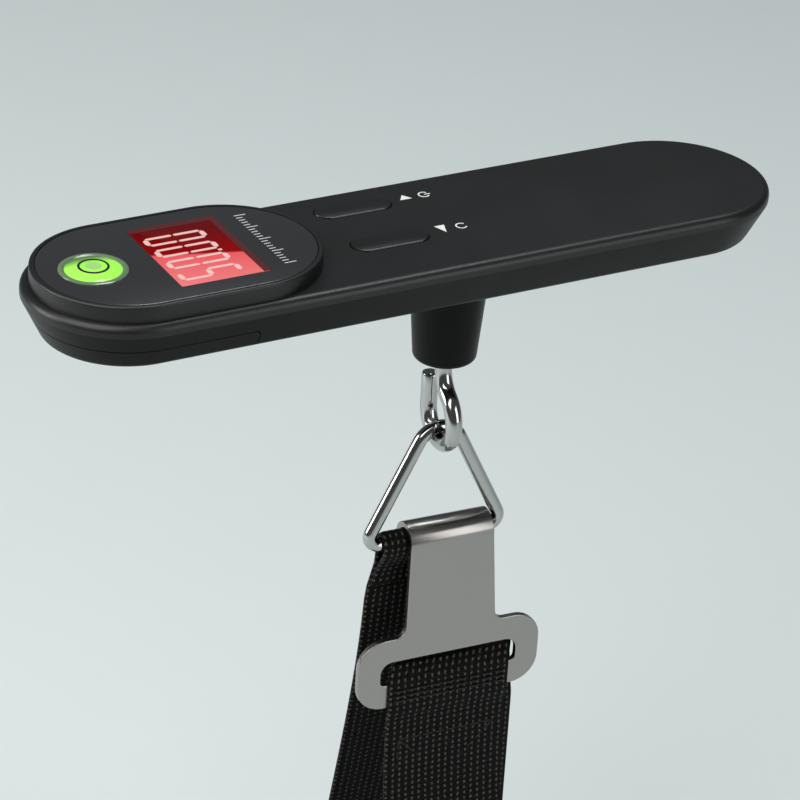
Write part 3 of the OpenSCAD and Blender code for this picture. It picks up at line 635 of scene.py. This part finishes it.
class LSCALE_OT_hook(bpy.types.Operator):
    """Build the load hook with its nut, washer and bush"""
    bl_idname = "lscale.hook"
    bl_label = "Build Hook"

    def execute(self, context):
        # Drawn wire, polished: it mirrors the room, so bright and dark lines run along it
        steel = metal("Stainless wire, drawn and polished", "#b2b2b1", (0.1, 0.16), 0.5, 0.002)
        top = 1000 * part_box("hook")[1].z
        start_z = BOSS_END_Z - JOG_START
        drop = start_z - HOOK_Z
        turn = 2 * math.atan(HOOK_JOG / drop)
        jog_r = drop / (2 * math.sin(turn))
        turn = math.degrees(turn)

        def yz(y, z):
            return 0, y, z

        path = [(0, 0, top - 0.02)] + [(0, 0, start_z + 6 - k) for k in range(6)]
        path += arc3((-jog_r, start_z), jog_r, 0, -turn, 14, yz)
        path += arc3((jog_r - HOOK_JOG, HOOK_Z), jog_r, 180 - turn, turn, 14, yz)[1:]
        path += arc3((HOOK_Y, HOOK_Z), HOOK_BEND, 180, 180, 40, yz)[1:]
        tip = HOOK_Z + HOOK_TIP
        path += [(0, HOOK_Y + HOOK_BEND, tip - 3), (0, HOOK_Y + HOOK_BEND, tip - 0.5)]
        rings = tube(path, HOOK_R, 40)
        centre, last = Vector(path[-1]), rings[-1]
        # The wire's end, rounded off in two steps
        for inset, rise in ((0.12, 0.3), (0.5, 0.5)):
            lifted = Vector((0, 0, rise))
            rings.append([tuple(centre + (Vector(p) - centre) * (HOOK_R - inset) / HOOK_R + lifted)
                          for p in last])
        verts, faces = loft(rings)
        mesh_object("hook_wire", hung_verts(verts), faces, steel, "swivel", replaces=("hook",))
        # Zinc plate: greyer and softer than the hook
        plated = metal("Steel, zinc plated", "#b8b9bb", (0.25, 0.35))
        tidy_copy("hook_nut", plated, "swivel")
        tidy_copy("thrust_washer", plated, "handle")
        # Sintered bronze: brown, porous and dull
        bronze = metal("Sintered bronze", "#7d6540", (0.35, 0.5))
        tidy_copy("hook_bush", bronze, "handle", 0.1)
        return {"FINISHED"}


class LSCALE_OT_ring(bpy.types.Operator):
    """Build the triangular ring"""
    bl_idname = "lscale.ring"
    bl_label = "Build Ring"

    def execute(self, context):
        # The hook's wire, bent and welded: the same bright and dark lines
        steel = metal("Stainless wire, drawn and polished, welded ring", "#b2b2b1", (0.1, 0.16), 0.5, 0.002)
        apex = RING_APEX_Z + RING_TOP_R * (math.sqrt(5) - 1)
        outline = rounded([(0, apex, RING_TOP_R), (-RING_HALF, BAR_Z, RING_CORNER_R),
                           (RING_HALF, BAR_Z, RING_CORNER_R)], 20)
        dense = []
        for i, p in enumerate(outline):
            q = outline[(i + 1) % len(outline)]
            length = math.dist(p, q)
            pieces = max(1, int(length / 1.5))
            dense += [(p[0] + (q[0] - p[0]) * k / pieces, p[1] + (q[1] - p[1]) * k / pieces)
                      for k in range(pieces)]
        count = len(dense)
        rings = []
        for i, (x, z) in enumerate(dense):
            ahead = (Vector(dense[(i + 1) % count]) - Vector(dense[i - 1])).normalized()
            out = Vector((ahead.y, 0, -ahead.x))
            middle, along_y = Vector((x, HOOK_Y, z)), Vector((0, 1, 0))
            rings.append([tuple(middle + RING_R * (math.cos(t) * out + math.sin(t) * along_y))
                          for t in (2 * math.pi * k / 36 for k in range(36))])
        verts, faces = loft(rings + rings[:1], False)
        mesh_object("ring_wire", hung_verts(verts), faces, steel, "link", replaces=("ring",))
        return {"FINISHED"}


class LSCALE_OT_plate(bpy.types.Operator):
    """Build the hook plate: a pressed plate whose neck rolls over the ring's bar"""
    bl_idname = "lscale.plate"
    bl_label = "Build Hook Plate"

    def execute(self, context):
        # Pressed sheet, brushed across: an even grey that brightens where it bends
        face = metal("Stainless plate, pressed and satin brushed", "#9c9996", (0.24, 0.28), 0.09, 0.0008,
                     (0.06, 1, 1), 0.4)
        neck, foot, hole = NECK_HALF, FOOT_HALF, SLOT_HALF
        inner_r, outer_r, slot_top_r, slot_low_r = 2.2, 5.5, 2.4, 1.0
        outline = rounded([(-neck, BAR_Z, 0), (-neck, SHOULDER_Z, inner_r), (-foot, SHOULDER_Z, outer_r),
                           (-foot, FOOT_Z, outer_r), (foot, FOOT_Z, outer_r), (foot, SHOULDER_Z, outer_r),
                           (neck, SHOULDER_Z, inner_r), (ROLL_END - PLATE_SHIFT, BAR_Z, 0)], 14)
        slot = rounded([(-hole, SLOT_Z, slot_top_r), (-hole, SLOT_BAR_Z, slot_low_r),
                        (hole, SLOT_BAR_Z, slot_low_r), (hole, SLOT_Z, slot_top_r)], 8)
        made = self.pierced("plate_face", outline, slot, face)
        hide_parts("hook_plate")
        # The neck rolled over the ring's bar, its two ends softened
        x0, x1 = PLATE_SHIFT - neck, ROLL_END
        rings = []
        for x, shrink in ((x0, 0.12), (x0 + 0.04, 0.03), (x0 + 0.14, 0),
                          (x1 - 0.14, 0), (x1 - 0.04, 0.03), (x1, 0.12)):
            outer = arc((HOOK_Y, BAR_Z), ROLL_OUT - shrink, 0, 180, 36)
            inner = arc((HOOK_Y, BAR_Z), ROLL_IN + shrink, 180, -180, 36)
            rings.append([(x, y, z) for y, z in outer + inner])
        verts, faces = loft(rings)
        mesh_object("plate_roll", hung_verts(verts), faces, face, "sling", angle=40, slot="plate_steel")
        return {"FINISHED"}

    def pierced(self, name, outline, hole, material):
        """The flat plate with its slot, and softened edges."""
        bm = bmesh.new()
        front = MM * (HOOK_Y - ROLL_OUT)
        for points in (outline, hole):
            ring = [bm.verts.new((MM * (x + PLATE_SHIFT), front, MM * z)) for x, z in points]
            for i, v in enumerate(ring):
                bm.edges.new((v, ring[(i + 1) % len(ring)]))
        bmesh.ops.triangle_fill(bm, use_beauty=True, use_dissolve=False, edges=bm.edges)
        extruded = bmesh.ops.extrude_face_region(bm, geom=bm.faces[:])
        moved = [v for v in extruded["geom"] if isinstance(v, bmesh.types.BMVert)]
        bmesh.ops.translate(bm, verts=moved, vec=(0, MM * PLATE_T, 0))
        bmesh.ops.recalc_face_normals(bm, faces=bm.faces)
        bmesh.ops.dissolve_limit(bm, angle_limit=math.radians(1), verts=bm.verts, edges=bm.edges)
        weight = bm.edges.layers.float.new("bevel_weight_edge")
        for edge in bm.edges:
            joint = all(v.co.z > MM * (BAR_Z - 0.01) for v in edge.verts)
            sharp = len(edge.link_faces) == 2 and edge.calc_face_angle() > math.radians(50)
            edge[weight] = 1.0 if sharp and not joint else 0.0
        bmesh.ops.rotate(bm, verts=bm.verts, cent=(0, 0, 0), matrix=Matrix.Rotation(HANG_TURN, 3, "Z"))
        mesh = bpy.data.meshes.new(name)
        bm.to_mesh(mesh)
        bm.free()
        mesh.materials.append(material)
        mesh.shade_smooth()
        mesh.set_sharp_from_angle(angle=math.radians(30))
        made = bpy.data.objects.new(name, mesh)
        bpy.context.scene.collection.objects.link(made)
        soften = made.modifiers.new("edges", "BEVEL")
        soften.width = 0.14 * MM
        soften.segments = 3
        soften.limit_method = "WEIGHT"
        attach(made, "sling")
        return made


class LSCALE_OT_strap(bpy.types.Operator):
    """Weave the webbing strap along its path and sew it"""
    bl_idname = "lscale.strap"
    bl_label = "Build Strap"

    def execute(self, context):
        settings = context.scene.lscale.strap
        cloth = webbing_material()
        # Offsets of the strands from the ring's bar, and where they are sewn together
        skin, lap = 0.02, WEB_T + 0.02
        front_y = -ROLL_OUT - skin - WEB_T / 2
        back_y = -ROLL_IN + skin + WEB_T / 2
        sewn_y = -(ROLL_OUT + ROLL_IN) / 2
        sewn_z = FOOT_Z - 4.5
        bulge = 14
        near = RING_R + skin + WEB_T / 2
        # From the tail's end up behind the plate, over the slot's bar, round the loop and over the ring's bar
        tail = [(sewn_y + lap / 2, sewn_z - 26), (sewn_y + lap / 2, sewn_z - 13)]
        tail += bezier([(sewn_y + lap / 2, sewn_z), (sewn_y + lap / 2, sewn_z + 3),
                        (back_y, FOOT_Z - 2), (back_y, FOOT_Z)])
        crest = back_y + 1.4
        tail += bezier([(back_y, FOOT_Z), (back_y, FOOT_Z + 2),
                        (crest, SLOT_BAR_Z - 2), (crest, SLOT_BAR_Z + 2.2)], 6)
        tail += [(crest + (front_y - crest) * (1 - math.cos(t)) / 2,
                  SLOT_BAR_Z + 0.3 + 1.9 * (1 + math.cos(t)) / 2 + 1.9 * math.sin(t))
                 for t in (math.pi * k / 18 for k in range(19))]
        front = bezier([(front_y, FOOT_Z), (front_y, FOOT_Z - 2),
                        (sewn_y - lap / 2, sewn_z + 3), (sewn_y - lap / 2, sewn_z)])
        front += bezier([(sewn_y - lap / 2, sewn_z), (sewn_y - lap / 2, sewn_z - 18),
                         (-bulge / 3 - 1.5, LOOP_Z + 56), (-bulge * 0.65, LOOP_Z + 40)], 24)
        front += bezier([(-bulge * 0.65, LOOP_Z + 40), (-bulge, LOOP_Z + 22),
                         (-bulge * 0.75, LOOP_Z), (3, LOOP_Z)], 30)
        back = bezier([(3, LOOP_Z), (bulge + 3, LOOP_Z),
                       (bulge + 7, LOOP_Z + 20), (bulge + 4, LOOP_Z + 36)], 30)
        back += bezier([(bulge + 4, LOOP_Z + 36), (bulge, LOOP_Z + 55),
                        (2.2, BAR_Z - 30), (near, BAR_Z - 7)], 24)
        over = [(near, BAR_Z - 5), (near, BAR_Z - 2.5)] + arc((0, BAR_Z), near, 0, 180, 20)
        over += bezier([(-near, BAR_Z), (-near, BAR_Z - 3),
                        (near - lap, BAR_Z - 3.5), (near - lap, BAR_Z - 7)])
        over += [(near - lap, BAR_Z - 7), (near - lap, BAR_Z - 9)]
        path = tail + front + back + over
        self.band("webbing", path, settings, cloth, len(tail), len(tail) + len(front))
        half = settings.width / MM / 2 - 2.5
        top, foot = sewn_z - 3, sewn_z - 23
        self.stitches("box_stitching", settings, sewn_y - lap / 2 - WEB_T / 2, [
            ((-half, top), (half, top)), ((-half, foot), (half, foot)), ((-half, top), (-half, foot)),
            ((half, top), (half, foot)), ((-half, top), (half, foot)), ((half, top), (-half, foot))])
        wide = settings.width / MM / 2 - 0.6
        self.stitches("fold_stitching", settings, front_y - WEB_T / 2, [
            ((-wide, z), (wide, z)) for z in (SLOT_BAR_Z - 1.2, SLOT_BAR_Z - 2.3, SLOT_BAR_Z - 3.4)])
        return {"FINISHED"}

    def band(self, name, path, settings, cloth, fold, middle):
        """Webbing along a path, set over behind the fold and narrowed where it wraps the ring's bar."""
        half_t = WEB_T / 2
        full = settings.width / MM
        tail_shift, wrap_gap, wrap_run = 2.0, 3.2, 9
        lengths = [0.0]
        for a, b in zip(path, path[1:]):
            lengths.append(lengths[-1] + math.dist(a, b))
        count = settings.ribs
        rings, uvs = [], []
        for i, (y, z) in enumerate(path):
            # The band's own direction, taken from the points on either side
            before, after = path[max(i - 1, 0)], path[min(i + 1, len(path) - 1)]
            ahead = (Vector(after) - Vector(before)).normalized()
            normal = Vector((-ahead.y, ahead.x))
            shift = PLATE_SHIFT * max(0.0, min(1.0, 1 - (i - middle + 25) / 55))
            shift += tail_shift * max(0.0, min(1.0, (fold - 4 - i) / 10))
            wide = max(0.0, min(1.0, (BAR_Z - wrap_gap - z) / wrap_run))
            width = WRAP_W + (full - WRAP_W) * wide * wide * (3 - 2 * wide)
            ring = []
            for sign, order in ((1, range(count + 1)), (-1, range(count, -1, -1))):
                for k in order:
                    u = -1 + 2 * k / count
                    edge = 1 if abs(u) < 0.999 else 0.55
                    off = sign * half_t * edge
                    ring.append((shift + u * width / 2, HOOK_Y + y + normal.x * off, z + normal.y * off))
                    uvs.append((u * full / 2, lengths[i]))
            rings.append(ring)
        verts, faces = loft(rings)
        mesh_object(name, hung_verts(verts), faces, cloth, "sling", uvs, angle=50, replaces=("strap",))

    def stitches(self, name, settings, face_y, rows):
        """Rows of lock stitch on the front of the webbing."""
        # Twisted thread: duller and a little paler than the webbing, proud of it
        thread = plastic("Black polyester thread, twisted", "#242422", 0.15, 0.02, (0.6, 0.75), 0.3)
        verts, faces = [], []
        for (ax, az), (bx, bz) in rows:
            run = Vector((bx - ax, bz - az))
            total = max(1, int(run.length * MM / settings.stitch))
            for k in range(total):
                a = Vector((ax, az)) + run * (k + 0.12) / total
                b = Vector((ax, az)) + run * (k + 0.88) / total
                line = []
                for t in (0, 0.2, 0.4, 0.6, 0.8, 1):
                    at = a + (b - a) * t
                    proud = 0.22 * math.sin(math.pi * t)
                    line.append((PLATE_SHIFT + at.x, HOOK_Y + face_y + 0.05 - proud, at.y))
                piece, skins = loft(tube(line, settings.thread / MM / 2, 8))
                faces += [tuple(i + len(verts) for i in fc) for fc in skins]
                verts += hung_verts(piece)
        mesh_object(name, verts, faces, thread, "sling", slot="webbing")


class LSCALE_OT_inside(bpy.types.Operator):
    """Give the inner parts their finishes"""
    bl_idname = "lscale.inside"
    bl_label = "Finish Inside"

    def execute(self, context):
        # Moulded frames: plain black, out of the light
        black = plastic("Black ABS, as moulded", "#161616")
        # Solder mask: glossy green over the woven glass
        mask = plastic("Glass epoxy board, green solder mask", "#1c5a33", 0.4, 0.004, (0.25, 0.35))
        # Dripped epoxy: a smooth black blob with a tight highlight
        potting = plastic("Black epoxy, dripped and cured", "#0c0c0c", 1.0, 0.01, (0.15, 0.25))
        # Silicones: matt, waxy and without highlights
        rubber = plastic("Grey silicone strip", "#6d6d6b", 0.2, 0.01, (0.6, 0.7))
        silicone = plastic("White silicone over the gauges", "#dcdcd4", 0.6, 0.02, (0.4, 0.5))
        # The lamp's light guide: an even red glow
        lamp = glowing("Red light guide, moulded acrylic", "#f0392a", 0.4)
        # Plated, sprung and milled metals: from soft grey to warm brown, with the milling's fine lines
        nickel = metal("Steel, nickel plated", "#c2c1bc", (0.18, 0.28))
        bronze = metal("Phosphor bronze spring strip", "#b98a52", (0.22, 0.34))
        milled = metal("Aluminium, milled", "#b9bbbe", (0.28, 0.4), 0.15, 0.004, (0.1, 1, 1))
        for node, material in (
                ("lcd_frame", black), ("battery_holder", black), ("main_board", mask),
                ("controller_chip", potting), ("zebra_connector", rubber), ("gauge_cover", silicone),
                ("gauge_lead", silicone), ("lcd_backlight", lamp), ("tact_switches", nickel),
                ("coin_cell", nickel), ("load_cell_bracket", nickel), ("load_cell_screws", nickel),
                ("cell_contact_negative", bronze), ("cell_contact_positive", bronze), ("load_cell", milled)):
            tidy_copy(node, material, "handle")
        return {"FINISHED"}


class LSCALE_OT_stage(bpy.types.Operator):
    """Lay the floor, hang the softboxes and place the camera"""
    bl_idname = "lscale.stage"
    bl_label = "Build Stage"

    def execute(self, context):
        settings = context.scene.lscale.stage
        low = min(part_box("strap")[0].z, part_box("hook_plate")[0].z)
        mesh = bpy.data.meshes.new("floor")
        reach = 6.0
        z = low - 0.004
        corners = [(-reach, -reach, z), (reach, -reach, z), (reach, reach, z), (-reach, reach, z)]
        mesh.from_pydata(corners, [], [(0, 1, 2, 3)])
        # Matt paint: pale, with only a soft shadow
        material, tree, shader = new_material("Painted studio floor, matt")
        set_inputs(shader, Base_Color=[*settings.floor, 1.0], IOR=1.5)
        grain(tree, shader, 2.0, 0.02, 0.6, 0.75)
        mesh.materials.append(material)
        floor = bpy.data.objects.new("floor", mesh)
        context.scene.collection.objects.link(floor)
        self.softbox("key", (-0.55, -0.1, 0.75), (0.9, 0.9), settings.key, "#fffdf8")
        self.softbox("edge", (-0.95, 0.45, 0.25), (0.45, 0.5), settings.key * 0.6, "#ffffff")
        self.softbox("high", (0.45, 0.35, 1.5), (0.6, 0.6), settings.key * 1.2, "#f4fbff")
        self.softbox("front", (0.5, -1.0, 0.3), (0.5, 0.85), settings.key * 0.4, "#ffffff")
        world = bpy.data.worlds.new("Studio")
        world.use_nodes = True
        set_inputs(world.node_tree.nodes["Background"], Color=linear("#dfe6e6"), Strength=settings.fill)
        context.scene.world = world
        context.scene.view_settings.view_transform = "Standard"
        self.camera(context)
        return {"FINISHED"}

    def softbox(self, name, place, size, power, colour):
        """A rectangular light aimed at the scale's middle."""
        light = bpy.data.lights.new(name, "AREA")
        light.shape = "RECTANGLE"
        light.size, light.size_y = size
        light.energy = power
        light.color = linear(colour)[:3]
        made = bpy.data.objects.new(name, light)
        made.location = place
        made.rotation_euler = (Vector((0, 0, -0.03)) - Vector(place)).to_track_quat("-Z", "Y").to_euler()
        bpy.context.scene.collection.objects.link(made)

    def camera(self, context):
        """The camera, from its azimuth, elevation and roll in degrees."""
        az, el, roll = (math.radians(a) for a in (-29.80, 28.38, -3.37))
        back = Vector((math.sin(az) * math.cos(el), -math.cos(az) * math.cos(el), math.sin(el)))
        right = Vector((math.cos(az), math.sin(az), 0))
        down = (-back).cross(right)
        across = math.cos(roll) * right + math.sin(roll) * down
        below = -math.sin(roll) * right + math.cos(roll) * down
        lens = bpy.data.cameras.new("camera")
        lens.lens = 152.8
        lens.sensor_width = 36.0
        made = bpy.data.objects.new("camera", lens)
        made.matrix_world = Matrix((across, -below, back)).transposed().to_4x4()
        made.location = (-0.2789, -0.4718, 0.2610)
        context.scene.collection.objects.link(made)
        context.scene.camera = made


class LSCALE_PT_panel(bpy.types.Panel):
    """Buttons and settings for the scale's looks"""
    bl_idname = "LSCALE_PT_panel"
    bl_label = "Luggage Scale"
    bl_space_type = "VIEW_3D"
    bl_region_type = "UI"
    bl_category = "Luggage Scale"

    def draw(self, context):
        settings = context.scene.lscale
        for group in (settings.housing, settings.strap, settings.stage):
            for key in group.__annotations__:
                self.layout.prop(group, key)
        for operator in OPERATORS:
            self.layout.operator(operator.bl_idname)


OPERATORS = (LSCALE_OT_housing, LSCALE_OT_display, LSCALE_OT_level, LSCALE_OT_buttons, LSCALE_OT_hook,
             LSCALE_OT_ring, LSCALE_OT_plate, LSCALE_OT_strap, LSCALE_OT_inside, LSCALE_OT_stage)
CLASSES = (HousingSettings, StrapSettings, StageSettings, ScaleSettings, *OPERATORS, LSCALE_PT_panel)


def register():
    """Make the panel, the operators and the settings known to Blender."""
    for cls in CLASSES:
        bpy.utils.register_class(cls)
    bpy.types.Scene.lscale = PointerProperty(type=ScaleSettings)


def unregister():
    """Take them away again."""
    del bpy.types.Scene.lscale
    for cls in reversed(CLASSES):
        bpy.utils.unregister_class(cls)


def main():
    """Build the whole scale."""
    register()
    for operator in OPERATORS:
        group, name = operator.bl_idname.split(".")
        getattr(getattr(bpy.ops, group), name)()


if __name__ == "__main__":
    main()
